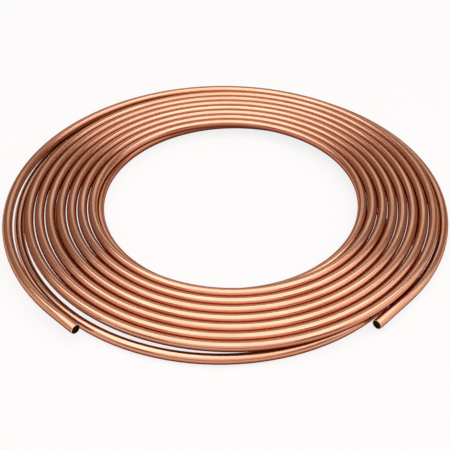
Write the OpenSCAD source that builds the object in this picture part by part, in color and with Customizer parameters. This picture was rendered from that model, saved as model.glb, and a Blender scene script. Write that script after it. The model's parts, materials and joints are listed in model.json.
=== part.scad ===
// Coil of soft copper tube, lying flat as it comes from the store shelf.
// The tube starts at its outer end and winds inwards through one flat layer of turns.
// Its innermost half turn dips below the layer, and a few wide turns underneath carry the tube out again.
// The last of them shows between the outer turns at the front and the left, and ends as the tail.
// Every bend runs half a turn, and each meets the next on one line through the middle of the eye.

/* [Tube] */
// Outside diameter of the tube
tube_od = 12.7; // [10:0.1:13]
// Wall of the tube
tube_wall = 0.8; // [0.6:0.05:1.6]

/* [Upper layer] */
// Turns that lie side by side in the flat layer
turns = 8; // [5:1:9]
// Middle of the eye to the innermost turn on the loose side
eye_loose = 184; // [178:1:200]
// Middle of the eye to the innermost turn on the tight side
eye_tight = 178; // [172:1:196]
// Clear space between turns on the loose side
gap_loose = 1.3; // [0.5:0.1:3]
// Clear space between turns on the tight side
gap_tight = 0.4; // [0.4:0.1:2]
// Extra space on the loose side between the outer end's turn and the next one
outer_slack = 14.5; // [6:0.5:20]
// Bearing of the tight side of the coil
tight_bearing = 46.5; // [0:0.5:90]

/* [Turns underneath] */
// Clear space between the flat layer and the turns under it
gap_level = 0.4; // [0.3:0.1:2]
// How far the dipped half turn ends inside the layer on the loose side
dip_inset = 11; // [11:0.5:14]
// Turns that carry the tube out again
under_turns = 2; // [1:1:3]
// Middle of the eye to the first turn underneath on the tight side
under_tight = 198; // [190:1:210]
// Middle of the eye to the last turn underneath on the loose side
under_loose = 280; // [272:1:300]

/* [Ends] */
// Middle of the eye to the tail on the tight side
tail_reach = 289; // [288:1:330]
// Clear space between the tail's straight end and the turns it lies against
tail_clear = 1; // [0.8:0.1:6]
// How far the tail is lifted off the floor where its straight end begins
tail_lift = 2; // [0:0.1:2.2]
// Straight length at the outer end
end_straight = 40; // [30:1:80]
// Straight length at the tail end
tail_straight = 60; // [30:1:80]

/* [Hidden] */
$fn = 48;
copper = [0.78, 0.46, 0.33];
half_turn = 180;
quarter_turn = 90;
tube_id = tube_od - 2 * tube_wall;
pitch_loose = tube_od + gap_loose;
pitch_tight = tube_od + gap_tight;
low_z = tube_od / 2;
dip_loose = eye_loose - dip_inset;
dip_span = eye_tight + dip_loose;
cos_grid = 0.000001;
sin_grid = 0.0000001;
dip_cos = round(cos(atan2(tube_od + gap_level, dip_span)) / cos_grid) * cos_grid;
dip_sin = round(sqrt(1 - dip_cos * dip_cos) / sin_grid) * sin_grid;
dip_radius = dip_span / 2 / dip_cos;
level_drop = dip_span * dip_sin / dip_cos;
high_z = low_z + level_drop;
last_bend = (under_tight_at(under_turns - 1) + under_loose) / 2;
outer_bend = (tight_at(0) + loose_at(1)) / 2;
tail_pitch = tube_od + tail_clear;
tail_under = level_drop - tail_lift;
tail_beside = sqrt(max(0, tail_pitch * tail_pitch - tail_under * tail_under));
tail_bend = max(last_bend + tail_pitch, outer_bend + tail_beside);
tail_cos = round(cos(asin(tail_lift / tail_bend)) / cos_grid) * cos_grid;
tail_sin = round(sqrt(1 - tail_cos * tail_cos) / sin_grid) * sin_grid;
tail_tilt = atan2(tail_sin, tail_cos);
tail_x = tail_reach - tail_bend * tail_cos;
tail_z = low_z + tail_bend * tail_sin;
dip_tilt = atan2(dip_sin, dip_cos);
coarse_step = 1;
fine_step = 0.001;

// Middle of the eye to turn k of the layer, on either side
function loose_at(k) = eye_loose + (turns - 1 - k) * pitch_loose + (k < 1 ? outer_slack : 0);
function tight_at(k) = eye_tight + (turns - 1 - k) * pitch_tight;

// Middle of the eye to turn k underneath, on either side
function under_loose_at(k) = dip_loose + k * (under_loose - dip_loose) / under_turns;
function under_tight_at(k) = under_tight + k * (tail_reach - under_tight) / under_turns;

// Moves its children in coarse, fine and remaining steps, so that neighbouring bends meet exactly
function whole(v, step) = [for (x = v) floor(x / step) * step];
module place(v) {
  coarse = whole(v, coarse_step);
  fine = whole(v - coarse, fine_step);
  translate(coarse) translate(fine) translate(v - coarse - fine) children();
}

// Ring that the tube shows where it is cut
module section(radius) {
  place([radius, 0, 0]) difference() {
    circle(d = tube_od);
    circle(d = tube_id);
  }
}

module bend(radius, sweep) {
  rotate_extrude(angle = sweep) section(radius);
}

module straight_run(length) {
  linear_extrude(height = length) section(0);
}

// Half turns behind and in front of the line on which the bends meet
module back_half(tight, loose, z) {
  place([(tight - loose) / 2, 0, z]) bend((tight + loose) / 2, half_turn);
}

module front_half(tight, loose, z) {
  place([(tight - loose) / 2, 0, z]) rotate([0, 0, half_turn]) bend((tight + loose) / 2, half_turn);
}

// Flat layer, from the outer end to the innermost turn
module layer() {
  for (k = [0 : turns - 1]) back_half(tight_at(k), loose_at(k), high_z);
  for (k = [0 : turns - 2]) front_half(tight_at(k), loose_at(k + 1), high_z);
}

module outer_end() {
  place([-loose_at(0), 0, high_z]) rotate([quarter_turn, 0, 0]) straight_run(end_straight);
}

// Half turn that leaves the layer on the tight side and reaches the floor on the loose side
module dipped_half() {
  place([(eye_tight - dip_loose) / 2, 0, (high_z + low_z) / 2])
    rotate([0, -dip_tilt, 0]) rotate([0, 0, half_turn]) bend(dip_radius, half_turn);
}

// Wide turns on the floor, from the dip to the tail
module turns_underneath() {
  for (k = [0 : under_turns]) back_half(under_tight_at(k), under_loose_at(k), low_z);
  for (k = [0 : under_turns - 1]) front_half(under_tight_at(k), under_loose_at(k + 1), low_z);
}

// Quarter turn and straight end that rise a little and lie against the outside of the layer
module tail() {
  place([tail_x, 0, tail_z])
    rotate([0, tail_tilt, 0]) rotate([0, 0, -quarter_turn]) bend(tail_bend, quarter_turn);
  place([tail_x, -tail_bend, tail_z])
    rotate([0, tail_tilt - quarter_turn, 0]) straight_run(tail_straight);
}

module coiled_tube() {
  color(copper) rotate([0, 0, tight_bearing]) union() {
    layer();
    outer_end();
    dipped_half();
    turns_underneath();
    tail();
  }
}

coiled_tube();
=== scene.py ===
"""A coil of bright drawn copper tube on a pale studio floor."""

import json
from math import asin, atan2, cos, pi, radians, sin, sqrt

import bmesh
import bpy
from mathutils import Matrix, Vector


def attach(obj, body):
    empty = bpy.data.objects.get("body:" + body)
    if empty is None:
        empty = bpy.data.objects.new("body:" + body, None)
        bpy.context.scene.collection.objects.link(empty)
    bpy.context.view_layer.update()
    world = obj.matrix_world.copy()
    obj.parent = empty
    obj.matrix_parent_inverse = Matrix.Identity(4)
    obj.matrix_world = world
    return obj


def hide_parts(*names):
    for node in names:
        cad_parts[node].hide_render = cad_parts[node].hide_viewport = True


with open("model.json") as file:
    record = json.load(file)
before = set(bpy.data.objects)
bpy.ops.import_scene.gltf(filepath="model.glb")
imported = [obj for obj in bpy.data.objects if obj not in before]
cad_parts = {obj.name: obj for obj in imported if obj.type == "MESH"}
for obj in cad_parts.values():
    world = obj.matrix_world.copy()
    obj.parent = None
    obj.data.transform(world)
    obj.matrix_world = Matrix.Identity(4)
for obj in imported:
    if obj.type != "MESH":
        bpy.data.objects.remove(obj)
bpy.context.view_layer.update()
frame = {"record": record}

bl_info = {
    "name": "Copper Tube Coil",
    "version": (1, 0, 0),
    "blender": (4, 5, 0),
    "location": "View3D > Sidebar > Coil",
    "description": "Winds a coil of soft copper tube and sets it on a studio floor",
    "category": "Add Mesh",
}

MM = 0.001
NODE = "coiled_tube"
MOUNTS = {mount["name"]: mount for mount in frame["record"]["mounts"]}
UP = Vector((0, 0, 1))
MERGE_WITHIN = 0.001 * MM
RIM_SEGMENTS = 2

# Where each point would lie if the tube were pulled straight: x, y downwards, and z along the tube
STRAIGHTENED = "straightened"

# The flat map of the tube for baking
SKIN_MAP = "OFBake"
SKIN_ROWS = 8
SKIN_FILL_SHARE = 0.94

# Patterns on the copper: size across the tube, size along it, detail and shift
STREAKS = (1.5 * MM, 240 * MM, 3.0, 0.0)
CLOUDS = (14 * MM, 60 * MM, 4.0, 7.0)
GRAIN = (0.35 * MM, 40 * MM, 2.0, 3.0)

# The span of each pattern that shows, and its share of the dulling
STREAK_SPAN = (0.35, 0.65)
STREAK_SHARE = 0.55
CLOUD_SPAN = (0.3, 0.7)
CLOUD_SHARE = 0.45

# The spans of the dulling over which the colour and the polish change
DULL_SPAN = (0.15, 0.85)
HAZE_SPAN = (0.2, 0.8)

# Bands of painted shade, in which the copper darkens downwards, in tube radii below the middle of the
# tube
PAINTED_LOW_SHADE_BAND = (-0.9, 0.1)
PAINTED_UNDERSIDE_BAND = (-0.35, 0.2)

# Bands through the wall of the tube, from 0 at the bore to 1 at the skin
BORE_TO_RIM = (0.10, 0.20)
RIM_TO_SKIN = (0.80, 0.90)

GRAIN_STRENGTH = 0.06
GRAIN_DEPTH = 0.05 * MM

FLOOR_SEGMENTS = 64
FLOOR_ROUGHNESS = 0.9
FLOOR_WHITE_SHARE = 0.82
SENSOR_WIDTH = 36

# Heights on a unit sphere between which the pale horizon gives way to the dim room
HORIZON_BAND = (0.03, 0.09)

# Each lamp's place, the point it is aimed at, its two sides in metres and its power in watts
LAMPS = {
    "overhead_softbox": ((0, -0.4, 2.0), (0, -0.4, 0), (3.9, 2.8), 48.5),
    "back_screen": ((0.35, 3.0, 2.1), (0, 0, 0), (2.6, 1.2), 5.3),
    "left_screen": ((-2.6, -0.8, 1.2), (0, 0, 0), (2.4, 1.6), 5.0),
    "right_screen": ((2.6, -0.4, 1.2), (0, 0, 0), (2.4, 1.6), 10.5),
    "front_fill": ((0, -2.5, 1.5), (0, 0, 0), (3.0, 1.5), 9.0),
}


class CoilSizes(bpy.types.PropertyGroup):
    """Sizes of the tube and of the way it is wound"""

    tube_od: bpy.props.FloatProperty(
        name="Tube Diameter",
        description="Outside diameter of the tube",
        default=2 * MOUNTS["outer_end"]["dims"]["r_mm"] * MM, unit="LENGTH", subtype="DISTANCE")
    tube_wall: bpy.props.FloatProperty(
        name="Tube Wall",
        description="Wall of the tube",
        default=0.8 * MM, unit="LENGTH", subtype="DISTANCE")
    turns: bpy.props.IntProperty(
        name="Turns",
        description="Turns that lie side by side in the flat layer",
        default=8)
    eye_loose: bpy.props.FloatProperty(
        name="Eye, Loose Side",
        description="Middle of the eye to the innermost turn on the loose side",
        default=184 * MM, unit="LENGTH", subtype="DISTANCE")
    eye_tight: bpy.props.FloatProperty(
        name="Eye, Tight Side",
        description="Middle of the eye to the innermost turn on the tight side",
        default=178 * MM, unit="LENGTH", subtype="DISTANCE")
    gap_loose: bpy.props.FloatProperty(
        name="Gap, Loose Side",
        description="Clear space between turns on the loose side",
        default=1.3 * MM, unit="LENGTH", subtype="DISTANCE")
    gap_tight: bpy.props.FloatProperty(
        name="Gap, Tight Side",
        description="Clear space between turns on the tight side",
        default=0.4 * MM, unit="LENGTH", subtype="DISTANCE")
    outer_slack: bpy.props.FloatProperty(
        name="Outer Slack",
        description="Extra space on the loose side inside the outer end's turn",
        default=14.5 * MM, unit="LENGTH", subtype="DISTANCE")
    tight_bearing: bpy.props.FloatProperty(
        name="Tight Bearing",
        description="Bearing of the tight side of the coil",
        default=radians(46.5), unit="ROTATION", subtype="ANGLE")
    gap_level: bpy.props.FloatProperty(
        name="Level Gap",
        description="Clear space between the flat layer and the turns under it",
        default=0.4 * MM, unit="LENGTH", subtype="DISTANCE")
    dip_inset: bpy.props.FloatProperty(
        name="Dip Inset",
        description="How far the dipped half turn ends inside the layer",
        default=11 * MM, unit="LENGTH", subtype="DISTANCE")
    under_turns: bpy.props.IntProperty(
        name="Turns Underneath",
        description="Turns that carry the tube out again",
        default=2)
    under_tight: bpy.props.FloatProperty(
        name="Underneath, Tight Side",
        description="Middle of the eye to the first turn underneath on the tight side",
        default=198 * MM, unit="LENGTH", subtype="DISTANCE")
    under_loose: bpy.props.FloatProperty(
        name="Underneath, Loose Side",
        description="Middle of the eye to the last turn underneath on the loose side",
        default=280 * MM, unit="LENGTH", subtype="DISTANCE")
    tail_reach: bpy.props.FloatProperty(
        name="Tail Reach",
        description="Middle of the eye to the tail on the tight side",
        default=289 * MM, unit="LENGTH", subtype="DISTANCE")
    tail_clear: bpy.props.FloatProperty(
        name="Tail Clearance",
        description="Clear space between the tail's straight end and the turns it lies against",
        default=1 * MM, unit="LENGTH", subtype="DISTANCE")
    tail_lift: bpy.props.FloatProperty(
        name="Tail Lift",
        description="How far the tail is lifted off the floor where its straight end begins",
        default=2 * MM, unit="LENGTH", subtype="DISTANCE")
    end_straight: bpy.props.FloatProperty(
        name="Outer End",
        description="Straight length at the outer end",
        default=MOUNTS["outer_end"]["dims"]["length_mm"] * MM, unit="LENGTH", subtype="DISTANCE")
    tail_straight: bpy.props.FloatProperty(
        name="Tail End",
        description="Straight length at the tail end",
        default=MOUNTS["tail_end"]["dims"]["length_mm"] * MM, unit="LENGTH", subtype="DISTANCE")
    end_roll: bpy.props.FloatProperty(
        name="Rolled Rim",
        description="How far the cutter rolled the rim inwards",
        default=0.25 * MM, unit="LENGTH", subtype="DISTANCE")
    sides: bpy.props.IntProperty(
        name="Sides",
        description="Faces round the tube",
        default=32)
    bend_steps: bpy.props.IntProperty(
        name="Steps",
        description="Steps in half a turn of the outside wall",
        default=64)
    bore_steps: bpy.props.IntProperty(
        name="Bore Steps",
        description="Steps in half a turn of the inside wall",
        default=40)


class CopperFinish(bpy.types.PropertyGroup):
    """Colours and polish of the copper"""

    bright: bpy.props.FloatVectorProperty(
        name="Bright Copper",
        description="Colour of the freshly drawn metal",
        default=(0.93, 0.58, 0.40), size=3, subtype="COLOR", min=0, max=1)
    dull: bpy.props.FloatVectorProperty(
        name="Dull Copper",
        description="Colour where the metal has darkened",
        default=(0.79, 0.41, 0.262), size=3, subtype="COLOR", min=0, max=1)
    # Painted shade: copper coloured darker low on each tube, where shade falls between the turns
    painted_low_shade: bpy.props.FloatVectorProperty(
        name="Painted Low Shade",
        description="Colour low on the tube, painted as the shade between the turns",
        default=(0.60, 0.14, 0.058), size=3, subtype="COLOR", min=0, max=1)
    # Painted shade: copper coloured near black at the bottom of each tube, where shade falls under it
    painted_underside_shade: bpy.props.FloatVectorProperty(
        name="Underside",
        description="Colour low under the tube, painted as the shade beneath it",
        default=(0.16, 0.052, 0.029), size=3, subtype="COLOR", min=0, max=1)
    glance: bpy.props.FloatVectorProperty(
        name="Glancing Tint",
        description="Tint of the metal where it is seen at a glancing angle",
        default=(0.30, 0.14, 0.095), size=3, subtype="COLOR", min=0, max=1)
    # Painted shade: the inside of the tube coloured near black, as the shade in the bore
    bore: bpy.props.FloatVectorProperty(
        name="Bore",
        description="Colour inside the tube, painted near black as the shade in it",
        default=(0.04, 0.02, 0.014), size=3, subtype="COLOR", min=0, max=1)
    cut: bpy.props.FloatVectorProperty(
        name="Cut Rim",
        description="Colour of the freshly cut rim",
        default=(0.98, 0.80, 0.64), size=3, subtype="COLOR", min=0, max=1)
    polish: bpy.props.FloatProperty(
        name="Polish",
        description="Roughness of the brightest streaks",
        default=0.17, min=0, max=1)
    haze: bpy.props.FloatProperty(
        name="Haze",
        description="Roughness of the dullest streaks",
        default=0.28, min=0, max=1)


class StudioLook(bpy.types.PropertyGroup):
    """Colours of the floor and the room, and the camera"""

    floor: bpy.props.FloatVectorProperty(
        name="Floor",
        description="Colour of the floor",
        default=(0.93, 0.93, 0.93), size=3, subtype="COLOR", min=0, max=1)
    floor_reach: bpy.props.FloatProperty(
        name="Floor Reach",
        description="Middle of the floor to its edge, so far off that low views see only floor behind",
        default=200, unit="LENGTH", subtype="DISTANCE")
    surround: bpy.props.FloatVectorProperty(
        name="Surround",
        description="Colour of the dim room over the floor",
        default=(0.24, 0.148, 0.119), size=3, subtype="COLOR", min=0, max=1)
    horizon: bpy.props.FloatVectorProperty(
        name="Horizon",
        description="Colour of the low band of the room that meets the floor",
        default=(0.82, 0.82, 0.82), size=3, subtype="COLOR", min=0, max=1)
    lens: bpy.props.FloatProperty(
        name="Lens",
        description="Focal length in millimetres",
        default=68)
    camera_distance: bpy.props.FloatProperty(
        name="Camera Distance",
        description="Camera to the middle of the eye, before its step to the side",
        default=1.1557, unit="LENGTH", subtype="DISTANCE")
    camera_height: bpy.props.FloatProperty(
        name="Camera Elevation",
        description="How far the camera looks down on the middle of the eye",
        default=radians(38.94), unit="ROTATION", subtype="ANGLE")
    camera_dip: bpy.props.FloatProperty(
        name="Camera Dip",
        description="How far the camera aims below the middle of the eye",
        default=radians(1.183), unit="ROTATION", subtype="ANGLE")
    camera_side: bpy.props.FloatProperty(
        name="Camera Side Step",
        description="How far the camera stands to the right, or to the left where it is negative",
        default=-6.8 * MM, unit="LENGTH", subtype="DISTANCE")


class TubeWall:
    """One wall of the tube, drawn move by move along its route"""

    def __init__(self, radius, sides, steps):
        self.radius = radius
        self.sides = sides
        self.steps = steps
        self.along = 0.0
        self.ring = Matrix.Identity(4)
        self.meshes = []
        self.straightened = []

    def open_piece(self):
        """A small mesh with the ring at which the wall has arrived"""
        piece = bmesh.new()
        bmesh.ops.create_circle(piece, cap_ends=False, segments=self.sides, radius=self.radius,
                                matrix=self.ring)
        return piece

    def close_piece(self, piece, rings):
        """Keeps the piece, and where each point would lie if the tube were pulled straight"""
        piece.verts.ensure_lookup_table()
        for number, (ring, along) in enumerate(rings):
            back = ring.inverted()
            for vert in piece.verts[number * self.sides:(number + 1) * self.sides]:
                level = back @ vert.co
                self.straightened.append((level.x, level.y, along))
        data = bpy.data.meshes.new("wall")
        piece.to_mesh(data)
        piece.free()
        self.meshes.append(data)
        self.ring, self.along = rings[-1]

    def start(self, place, heading):
        """Sets the first ring at a place, square to the way the tube heads"""
        turn = UP.rotation_difference(heading).to_matrix().to_4x4()
        self.ring = Matrix.Translation(place) @ turn

    def straight(self, run):
        """Pushes the wall on by a straight run"""
        piece = self.open_piece()
        pushed = bmesh.ops.extrude_edge_only(piece, edges=piece.edges[:])["geom"]
        verts = [item for item in pushed if isinstance(item, bmesh.types.BMVert)]
        bmesh.ops.translate(piece, verts=verts, vec=run)
        self.close_piece(piece, [(self.ring, self.along),
                                 (Matrix.Translation(run) @ self.ring, self.along + run.length)])

    def bend(self, centre, axis, sweep):
        """Bends the wall round a centre"""
        piece = self.open_piece()
        steps = round(self.steps * sweep / pi)
        bmesh.ops.spin(piece, geom=piece.verts[:] + piece.edges[:], cent=centre, axis=axis,
                       dvec=(0, 0, 0), angle=sweep, space=Matrix.Identity(4), steps=steps,
                       use_duplicate=False)
        reach = (self.ring.translation - centre).length
        there, back = Matrix.Translation(centre), Matrix.Translation(-centre)
        rings = []
        for step in range(steps + 1):
            turned = sweep * step / steps
            rings.append((there @ Matrix.Rotation(turned, 4, axis) @ back @ self.ring,
                          self.along + reach * turned))
        self.close_piece(piece, rings)


def route(sizes):
    """The tube's way from its outer end to its tail end, as a start and a list of moves"""
    low_z = sizes.tube_od / 2
    high_z = low_z + sizes.tube_od + sizes.gap_level
    dip_loose = sizes.eye_loose - sizes.dip_inset

    def loose_at(k):
        inward = (sizes.turns - 1 - k) * (sizes.tube_od + sizes.gap_loose)
        return sizes.eye_loose + inward + (sizes.outer_slack if k < 1 else 0)

    def tight_at(k):
        return sizes.eye_tight + (sizes.turns - 1 - k) * (sizes.tube_od + sizes.gap_tight)

    def under_loose_at(k):
        return dip_loose + k * (sizes.under_loose - dip_loose) / sizes.under_turns

    def under_tight_at(k):
        return sizes.under_tight + k * (sizes.tail_reach - sizes.under_tight) / sizes.under_turns

    def half(tight, loose, z):
        return ("bend", Vector(((tight - loose) / 2, 0, z)), -UP, pi)

    # The straight outer end and the flat layer, from its outermost turn inwards
    start = Vector((-loose_at(0), -sizes.end_straight, high_z))
    moves = [("straight", Vector((0, sizes.end_straight, 0)))]
    for k in range(sizes.turns):
        moves.append(half(tight_at(k), loose_at(k), high_z))
        if k < sizes.turns - 1:
            moves.append(half(tight_at(k), loose_at(k + 1), high_z))

    # The half turn that dips to the floor
    tilt = atan2(high_z - low_z, sizes.eye_tight + dip_loose)
    dip_centre = Vector(((sizes.eye_tight - dip_loose) / 2, 0, (high_z + low_z) / 2))
    moves.append(("bend", dip_centre, Vector((sin(tilt), 0, -cos(tilt))), pi))

    # The turns underneath, outwards to where the tail begins
    for k in range(sizes.under_turns + 1):
        moves.append(half(under_tight_at(k), under_loose_at(k), low_z))
        if k < sizes.under_turns:
            moves.append(half(under_tight_at(k), under_loose_at(k + 1), low_z))

    # The tail, which rises and lies against whichever turn reaches further out
    last_bend = (under_tight_at(sizes.under_turns - 1) + sizes.under_loose) / 2
    outer_bend = (tight_at(0) + loose_at(1)) / 2
    tail_pitch = sizes.tube_od + sizes.tail_clear
    tail_under = high_z - low_z - sizes.tail_lift
    tail_beside = sqrt(max(0, tail_pitch ** 2 - tail_under ** 2))
    tail_bend = max(last_bend + tail_pitch, outer_bend + tail_beside)
    rise = asin(sizes.tail_lift / tail_bend)
    tail_centre = Vector((sizes.tail_reach - tail_bend * cos(rise), 0, low_z + sizes.tail_lift))
    moves.append(("bend", tail_centre, Vector((-sin(rise), 0, -cos(rise))), pi / 2))
    moves.append(("straight", sizes.tail_straight * Vector((-cos(rise), 0, sin(rise)))))
    return start, moves


def draw_wall(sizes, radius, steps):
    """One wall of the tube from end to end"""
    wall = TubeWall(radius, sizes.sides, steps)
    start, moves = route(sizes)
    wall.start(start, moves[0][1].normalized())
    for move in moves:
        if move[0] == "straight":
            wall.straight(move[1])
        else:
            wall.bend(*move[1:])
    return wall


def lay_skin_flat(mesh, straightened, sizes, length):
    """A flat map of the tube for baking: the skin in rows, then the bore, then both rims"""
    skin = mesh.loops.layers.uv.new(SKIN_MAP)
    radius = sizes.tube_od / 2
    row_run = length / SKIN_ROWS
    bore_row, rim_row = SKIN_ROWS, SKIN_ROWS + 1
    row_height = 1 / (rim_row + 1)
    for face in mesh.faces:
        places = [loop.vert[straightened] for loop in face.loops]
        middle = sum(places, Vector()) / len(places)
        along = [place.z for place in places]
        at_rim = max(along) - min(along) < sizes.tube_wall
        outside = middle.xy.length > radius - sizes.tube_wall / 2
        row = min(int(middle.z / row_run), SKIN_ROWS - 1) if outside else bore_row
        start, run = (row * row_run, row_run) if outside else (0, length)
        facing = atan2(middle.x, -middle.y)
        end = 0 if middle.z < length / 2 else 1
        disc = (end + 0.5, rim_row + 0.5)
        for loop, place in zip(face.loops, places):
            if at_rim:
                across = [(near + SKIN_FILL_SHARE * far / sizes.tube_od) * row_height
                          for near, far in zip(disc, place.xy)]
            else:
                turned = atan2(place.x, -place.y)
                turned += 2 * pi * round((facing - turned) / (2 * pi))
                across = (0.5 + SKIN_FILL_SHARE * ((place.z - start) / run - 0.5),
                          (row + 0.5 + SKIN_FILL_SHARE * turned / (2 * pi)) * row_height)
            loop[skin].uv = across


def principled(name):
    """A new material and its principled shader"""
    material = bpy.data.materials.new(name)
    material.use_nodes = True
    return material, material.node_tree.nodes["Principled BSDF"]


def opaque(colour):
    """A colour as a socket takes it, with its alpha"""
    return (*colour, 1)


def feed(tree, socket, value):
    """Links a socket to a node's output, or sets it to a plain value"""
    if isinstance(value, bpy.types.NodeSocket):
        tree.links.new(value, socket)
    else:
        socket.default_value = value


def maths(tree, operation, first, second):
    """The result of one operation on two numbers"""
    node = tree.nodes.new("ShaderNodeMath")
    node.operation = operation
    feed(tree, node.inputs[0], first)
    feed(tree, node.inputs[1], second)
    return node.outputs["Value"]


def mixed_colour(tree, factor, first, second):
    """Goes from the first colour to the second as the factor goes from 0 to 1"""
    node = tree.nodes.new("ShaderNodeMix")
    node.data_type = "RGBA"
    feed(tree, node.inputs["Factor"], factor)
    feed(tree, node.inputs["A"], first)
    feed(tree, node.inputs["B"], second)
    return node.outputs["Result"]


def spread(tree, value, span, onto=(0.0, 1.0), easing="LINEAR"):
    """Spreads a span of values onto another, and holds what lies outside at its ends"""
    node = tree.nodes.new("ShaderNodeMapRange")
    node.interpolation_type = easing
    node.inputs["From Min"].default_value, node.inputs["From Max"].default_value = span
    node.inputs["To Min"].default_value, node.inputs["To Max"].default_value = onto
    tree.links.new(value, node.inputs["Value"])
    return node.outputs["Result"]


def drawn_noise(tree, place, size_across, size_along, detail, shift):
    """Noise that is stretched along the tube"""
    stretch = tree.nodes.new("ShaderNodeMapping")
    stretch.vector_type = "POINT"
    stretch.inputs["Scale"].default_value = (1 / size_across, 1 / size_across, 1 / size_along)
    stretch.inputs["Location"].default_value = (shift, shift, shift)
    tree.links.new(place, stretch.inputs["Vector"])
    noise = tree.nodes.new("ShaderNodeTexNoise")
    noise.inputs["Scale"].default_value = 1.0
    noise.inputs["Detail"].default_value = detail
    tree.links.new(stretch.outputs["Vector"], noise.inputs["Vector"])
    return noise.outputs["Fac"]


def way_through_wall(tree, place, sizes):
    """Where a point lies in the tube's wall, from 0 at the bore to 1 at the skin"""
    across = tree.nodes.new("ShaderNodeVectorMath")
    across.operation = "MULTIPLY"
    across.inputs[1].default_value = (1, 1, 0)
    tree.links.new(place, across.inputs[0])
    reach = tree.nodes.new("ShaderNodeVectorMath")
    reach.operation = "LENGTH"
    tree.links.new(across.outputs["Vector"], reach.inputs[0])
    radius = sizes.tube_od / 2
    return spread(tree, reach.outputs["Value"], (radius - sizes.tube_wall, radius))


def drawn_copper(finish, sizes):
    """Bright copper with fine streaks along the tube, cloudy dulling and a faint drawn grain, painted
    shade low on each tube, darkest at its bottom, and painted shade in the bore
    """
    material, shader = principled("drawn_copper")
    tree = material.node_tree
    straightened = tree.nodes.new("ShaderNodeAttribute")
    straightened.attribute_name = STRAIGHTENED
    place = straightened.outputs["Vector"]

    streaks = spread(tree, drawn_noise(tree, place, *STREAKS), STREAK_SPAN, (0.0, STREAK_SHARE))
    clouds = spread(tree, drawn_noise(tree, place, *CLOUDS), CLOUD_SPAN, (0.0, CLOUD_SHARE))
    dulling = maths(tree, "ADD", streaks, clouds)
    darkening = spread(tree, dulling, DULL_SPAN)
    skin = mixed_colour(tree, darkening, opaque(finish.bright), opaque(finish.dull))

    parts = tree.nodes.new("ShaderNodeSeparateXYZ")
    tree.links.new(place, parts.inputs["Vector"])
    radius = sizes.tube_od / 2
    # Painted shade: darker copper low on each tube, darkest at its bottom
    for colour, band in ((finish.painted_low_shade, PAINTED_LOW_SHADE_BAND), (finish.painted_underside_shade, PAINTED_UNDERSIDE_BAND)):
        depths = [edge * radius for edge in band]
        low = spread(tree, parts.outputs["Y"], depths, easing="SMOOTHSTEP")
        skin = mixed_colour(tree, low, skin, opaque(colour))

    through = way_through_wall(tree, place, sizes)
    past_bore = spread(tree, through, BORE_TO_RIM)
    past_rim = spread(tree, through, RIM_TO_SKIN)
    # Painted shade in the bore: the inner wall takes the near black bore colour
    rim = mixed_colour(tree, past_bore, opaque(finish.bore), opaque(finish.cut))
    tree.links.new(mixed_colour(tree, past_rim, rim, skin), shader.inputs["Base Color"])
    roughness = spread(tree, dulling, HAZE_SPAN, (finish.polish, finish.haze))
    tree.links.new(roughness, shader.inputs["Roughness"])

    bump = tree.nodes.new("ShaderNodeBump")
    bump.inputs["Strength"].default_value = GRAIN_STRENGTH
    bump.inputs["Distance"].default_value = GRAIN_DEPTH
    tree.links.new(drawn_noise(tree, place, *GRAIN), bump.inputs["Height"])
    tree.links.new(bump.outputs["Normal"], shader.inputs["Normal"])
    shader.inputs["Metallic"].default_value = 1.0
    shader.inputs["Specular Tint"].default_value = opaque(finish.glance)
    return material


def studio_floor(look):
    """A pale floor that the lens and the metal see as near white, and that keeps the shadow"""
    material, shader = principled("studio_floor")
    tree = material.node_tree
    shader.inputs["Base Color"].default_value = opaque(look.floor)
    shader.inputs["Roughness"].default_value = FLOOR_ROUGHNESS
    shader.inputs["Specular IOR Level"].default_value = 0.0
    path = tree.nodes.new("ShaderNodeLightPath")
    seen = maths(tree, "MAXIMUM", path.outputs["Is Camera Ray"], path.outputs["Is Glossy Ray"])
    shown = maths(tree, "MAXIMUM", seen, path.outputs["Is Transmission Ray"])
    share = maths(tree, "MULTIPLY", shown, FLOOR_WHITE_SHARE)
    white = tree.nodes.new("ShaderNodeEmission")
    white.inputs["Strength"].default_value = 1.0
    mixed = tree.nodes.new("ShaderNodeMixShader")
    tree.links.new(share, mixed.inputs["Fac"])
    tree.links.new(shader.outputs["BSDF"], mixed.inputs[1])
    tree.links.new(white.outputs["Emission"], mixed.inputs[2])
    tree.links.new(mixed.outputs["Shader"], tree.nodes["Material Output"].inputs["Surface"])
    return material


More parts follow.
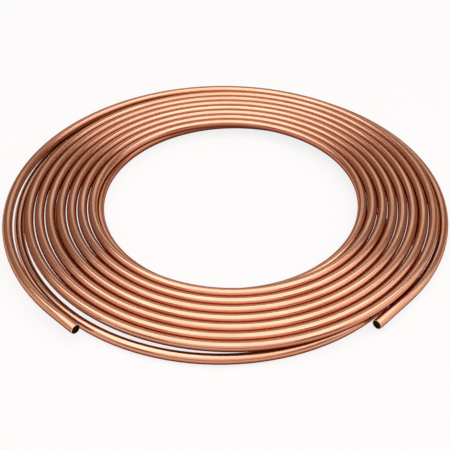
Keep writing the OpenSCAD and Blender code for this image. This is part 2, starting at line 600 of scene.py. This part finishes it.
class COIL_OT_wind_tube(bpy.types.Operator):
    """Wind the copper tube, both walls and both cut rims, in place of the plain solid"""

    bl_idname = "coil.wind_tube"
    bl_label = "Wind Tube"

    def execute(self, context):
        sizes, finish = context.scene.coil_sizes, context.scene.coil_finish
        mesh = bmesh.new()
        radius = sizes.tube_od / 2
        walls = (draw_wall(sizes, radius, sizes.bend_steps),
                 draw_wall(sizes, radius - sizes.tube_wall, sizes.bore_steps))
        for wall in walls:
            for data in wall.meshes:
                mesh.from_mesh(data)
                bpy.data.meshes.remove(data)
        straightened = mesh.verts.layers.float_vector.new(STRAIGHTENED)
        places = [place for wall in walls for place in wall.straightened]
        for vert, place in zip(mesh.verts, places):
            vert[straightened] = place
        bmesh.ops.remove_doubles(mesh, verts=mesh.verts, dist=MERGE_WITHIN)
        length = walls[0].along
        for along in (0.0, length):
            rims = [edge for edge in mesh.edges if edge.is_boundary
                    and abs(edge.verts[0][straightened].z - along) < sizes.tube_od]
            bmesh.ops.bridge_loops(mesh, edges=rims)
            bmesh.ops.bevel(mesh, geom=rims, offset=sizes.end_roll, offset_type="OFFSET",
                            segments=RIM_SEGMENTS, profile=0.5, affect="EDGES", material=-1)
        bmesh.ops.rotate(mesh, verts=mesh.verts, cent=(0, 0, 0),
                         matrix=Matrix.Rotation(sizes.tight_bearing, 3, UP))
        bmesh.ops.recalc_face_normals(mesh, faces=mesh.faces)
        for face in mesh.faces:
            face.smooth = True
        lay_skin_flat(mesh, straightened, sizes, length)
        data = bpy.data.meshes.new("copper_tube")
        mesh.to_mesh(data)
        mesh.free()
        coil = bpy.data.objects.new("copper_tube", data)
        context.scene.collection.objects.link(coil)
        data.materials.append(drawn_copper(finish, sizes))
        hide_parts(NODE)
        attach(coil, "root")
        return {"FINISHED"}


class COIL_OT_set_stage(bpy.types.Operator):
    """Lay the floor, hang the lamps and stand the camera"""

    bl_idname = "coil.set_stage"
    bl_label = "Set Stage"

    def execute(self, context):
        look = context.scene.coil_stage
        self.lay_floor(context, look)
        self.hang_lamps(context)
        self.light_surround(context, look)
        self.stand_camera(context, look)
        context.scene.view_settings.view_transform = "Standard"
        return {"FINISHED"}

    def lay_floor(self, context, look):
        """A wide flat disc under the coil"""
        mesh = bmesh.new()
        bmesh.ops.create_circle(mesh, cap_ends=True, segments=FLOOR_SEGMENTS, radius=look.floor_reach)
        data = bpy.data.meshes.new("floor")
        mesh.to_mesh(data)
        mesh.free()
        floor = bpy.data.objects.new("floor", data)
        context.scene.collection.objects.link(floor)
        data.materials.append(studio_floor(look))

    def hang_lamps(self, context):
        """Soft rectangular lamps, each aimed at its point"""
        for name, (place, aim, size, power) in LAMPS.items():
            lamp = bpy.data.lights.new(name, "AREA")
            lamp.shape = "RECTANGLE"
            lamp.size, lamp.size_y = size
            lamp.energy = power
            holder = bpy.data.objects.new(name, lamp)
            holder.location = place
            towards = Vector(aim) - Vector(place)
            holder.rotation_euler = towards.to_track_quat("-Z", "Y").to_euler()
            context.scene.collection.objects.link(holder)

    def light_surround(self, context, look):
        """A room that is pale at the horizon and dim and warm over it"""
        world = bpy.data.worlds.new("studio_room")
        world.use_nodes = True
        tree = world.node_tree
        direction = tree.nodes.new("ShaderNodeTexCoord")
        height = tree.nodes.new("ShaderNodeSeparateXYZ")
        tree.links.new(direction.outputs["Object"], height.inputs["Vector"])
        above = spread(tree, height.outputs["Z"], HORIZON_BAND)
        room = mixed_colour(tree, above, opaque(look.horizon), opaque(look.surround))
        tree.links.new(room, tree.nodes["Background"].inputs["Color"])
        context.scene.world = world

    def stand_camera(self, context, look):
        """The camera in front of the coil, looking down into its eye"""
        camera = bpy.data.cameras.new("camera")
        camera.sensor_width = SENSOR_WIDTH
        camera.lens = look.lens
        camera.clip_end = 2 * look.floor_reach
        holder = bpy.data.objects.new("camera", camera)
        reach, elevation = look.camera_distance, look.camera_height
        holder.location = (look.camera_side, -reach * cos(elevation), reach * sin(elevation))
        holder.rotation_euler = (pi / 2 - elevation - look.camera_dip, 0, 0)
        context.scene.collection.objects.link(holder)
        context.scene.camera = holder


class COIL_PT_sidebar(bpy.types.Panel):
    """Coil tools in the 3D view's sidebar"""

    bl_idname = "COIL_PT_sidebar"
    bl_label = "Copper Tube Coil"
    bl_space_type = "VIEW_3D"
    bl_region_type = "UI"
    bl_category = "Coil"

    def draw(self, context):
        for operator in OPERATORS:
            self.layout.operator(operator.bl_idname)
        for group_name in GROUPS:
            group = getattr(context.scene, group_name)
            box = self.layout.box()
            for name in group.__annotations__:
                box.prop(group, name)


GROUPS = {"coil_sizes": CoilSizes, "coil_finish": CopperFinish, "coil_stage": StudioLook}
OPERATORS = (COIL_OT_wind_tube, COIL_OT_set_stage)


def register():
    for name, group in GROUPS.items():
        bpy.utils.register_class(group)
        setattr(bpy.types.Scene, name, bpy.props.PointerProperty(type=group))
    for cls in (*OPERATORS, COIL_PT_sidebar):
        bpy.utils.register_class(cls)


def unregister():
    for cls in (COIL_PT_sidebar, *reversed(OPERATORS)):
        bpy.utils.unregister_class(cls)
    for name, group in reversed(GROUPS.items()):
        delattr(bpy.types.Scene, name)
        bpy.utils.unregister_class(group)


def main():
    register()
    bpy.ops.coil.wind_tube()
    bpy.ops.coil.set_stage()


if __name__ == "__main__":
    main()
